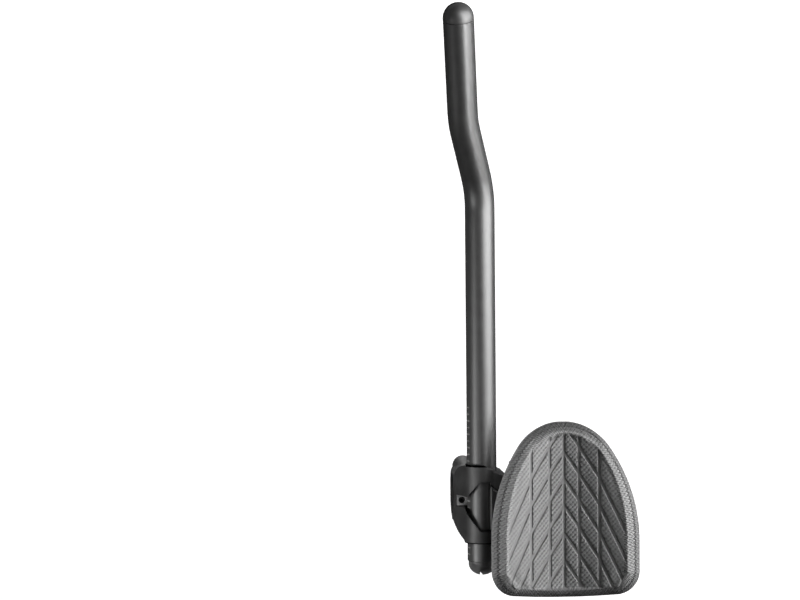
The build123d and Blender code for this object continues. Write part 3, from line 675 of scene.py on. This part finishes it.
# Studio: a pale floor well below the part, one large soft box on the right and a low, weak one on the left
# that lights only matt surfaces. Four more are seen only in reflections. Dark boards, which the camera
# doesn't see, stand beside the part and lie below it and keep the floor's white out of its flanks.
FLOOR_Z = -0.32
FLOOR_SIZE = 30.0
FLOOR_WHITE = 0.86
FLOOR_GLOW = 0.62
FLOOR_MATT = 0.6
bpy.ops.mesh.primitive_plane_add(size=FLOOR_SIZE, location=(0.0, 0.0, FLOOR_Z))
floor = bpy.context.object
floor.name = "studio_floor"
floor_white = bpy.data.materials.new("floor_white")
floor_white.use_nodes = True
tree = floor_white.node_tree
tree.nodes.clear()
path = add(tree, "LightPath", {})
seen = sums(tree, "MULTIPLY", path.outputs["Is Camera Ray"], FLOOR_WHITE)
mirrored = sums(tree, "MULTIPLY", path.outputs["Is Glossy Ray"], FLOOR_GLOW)
glow = add(tree, "Emission", {"Color": shade(1.0), "Strength": sums(tree, "ADD", seen, mirrored)})
matt = add(tree, "BsdfDiffuse", {"Color": shade(FLOOR_MATT)})
both = add(tree, "AddShader", {0: glow.outputs["Emission"], 1: matt.outputs["BSDF"]})
add(tree, "OutputMaterial", {"Surface": both.outputs["Shader"]})
floor.data.materials.append(floor_white)

ROOM_GLOW = 0.035
world = bpy.data.worlds.new("studio_world")
scene.world = world
world.use_nodes = True
feed(world.node_tree, world.node_tree.nodes["Background"], {"Color": shade(1.0), "Strength": ROOM_GLOW})


def soft_box(name, place, aim, size, power, spread):
    """A rectangular area lamp at a place, turned towards a point, with a grid that limits its spread."""
    bpy.ops.object.light_add(type="AREA", location=place)
    lamp = bpy.context.object
    lamp.name = name
    lamp.data.shape = "RECTANGLE"
    lamp.data.size, lamp.data.size_y = size
    lamp.data.energy = power
    lamp.data.spread = math.radians(spread)
    turn = Vector(aim) - Vector(place)
    lamp.rotation_euler = turn.to_track_quat("-Z", "Y").to_euler()
    return lamp


soft_box(
    "key_right", place=(0.95, 0.41, 0.44), aim=(0.0, 0.19, 0.03), size=(1.0, 0.9),
    power=24.2, spread=180.0)
bounce_left = soft_box(
    "bounce_left", place=(-0.9, 0.08, -0.06), aim=(0.02, -0.04, 0.07), size=(0.6, 0.15),
    power=0.95, spread=45.0)
bounce_left.visible_glossy = False
sheens = [
    soft_box(
        "sheen_left", place=(-0.85, -0.24, 0.58), aim=(0.0, -0.03, 0.03), size=(0.5, 0.78),
        power=0.42, spread=38.0),
    soft_box(
        "sheen_top", place=(-0.40, -0.24, 0.92), aim=(0.0, -0.05, 0.04), size=(0.45, 0.30),
        power=0.045, spread=40.0),
    soft_box(
        "sheen_right", place=(0.50, 0.52, 0.95), aim=(0.0, 0.27, 0.03), size=(0.96, 0.40),
        power=11.0, spread=180.0),
    soft_box(
        "sheen_front", place=(0.88, -0.16, 0.84), aim=(-0.02, 0.52, 0.12), size=(0.4, 0.5),
        power=0.62, spread=30.0),
]
for lamp in sheens:
    lamp.visible_diffuse = False

# Boards by their limits in X, Y and Z.
BOARD_GREY = 0.01
BOARDS = {
    "flag_left": ((-0.36, -0.35), (-0.45, 0.70), (-0.31, 0.04)),
    "flag_right": ((0.24, 0.25), (-0.45, 0.36), (-0.31, 0.04)),
    "card_left": ((-0.35, -0.050), (-0.45, 0.70), (-0.16, -0.15)),
    "card_under": ((-0.050, 0.0), (-0.09, -0.004), (-0.16, -0.15)),
    "card_right": ((0.03, 0.24), (-0.30, 0.26), (-0.16, -0.15)),
}
board_black = bpy.data.materials.new("board_black")
board_black.use_nodes = True
finish(board_black, {"Base Color": shade(BOARD_GREY), "Roughness": 1.0})
for name, limits in BOARDS.items():
    middle = [(low + high) / 2 for low, high in limits]
    lengths = [high - low for low, high in limits]
    bpy.ops.mesh.primitive_cube_add(size=1.0, location=middle, scale=lengths)
    board = bpy.context.object
    board.name = name
    board.visible_camera = False
    board.visible_shadow = False
    board.data.materials.append(board_black)

# Camera: a long lens almost straight above the set, as the photograph was taken.
# It stands to the left of the part, looks slightly to the right and backwards, and is turned a little.
CAMERA_PLACE = Vector((-0.1193, 0.2137, 1.4313))
TILT_BACK = math.radians(2.60)
LEAN_RIGHT = math.radians(2.43)
SPIN = math.radians(-0.56)
LENS_MM = 84.69
SENSOR_MM = 36.0
look = Vector((
    math.sin(LEAN_RIGHT),
    -math.sin(TILT_BACK) * math.cos(LEAN_RIGHT),
    -math.cos(TILT_BACK) * math.cos(LEAN_RIGHT),
))
up = (Vector((0.0, 1.0, 0.0)) - look * look.y).normalized()
right = look.cross(up)
turned = Matrix((right, up, -look)).transposed() @ Matrix.Rotation(SPIN, 3, "Z")
bpy.ops.object.camera_add()
camera = bpy.context.object
camera.matrix_world = Matrix.Translation(CAMERA_PLACE) @ turned.to_4x4()
camera.data.lens = LENS_MM
camera.data.sensor_width = SENSOR_MM
scene.camera = camera
scene.view_settings.view_transform = "Standard"
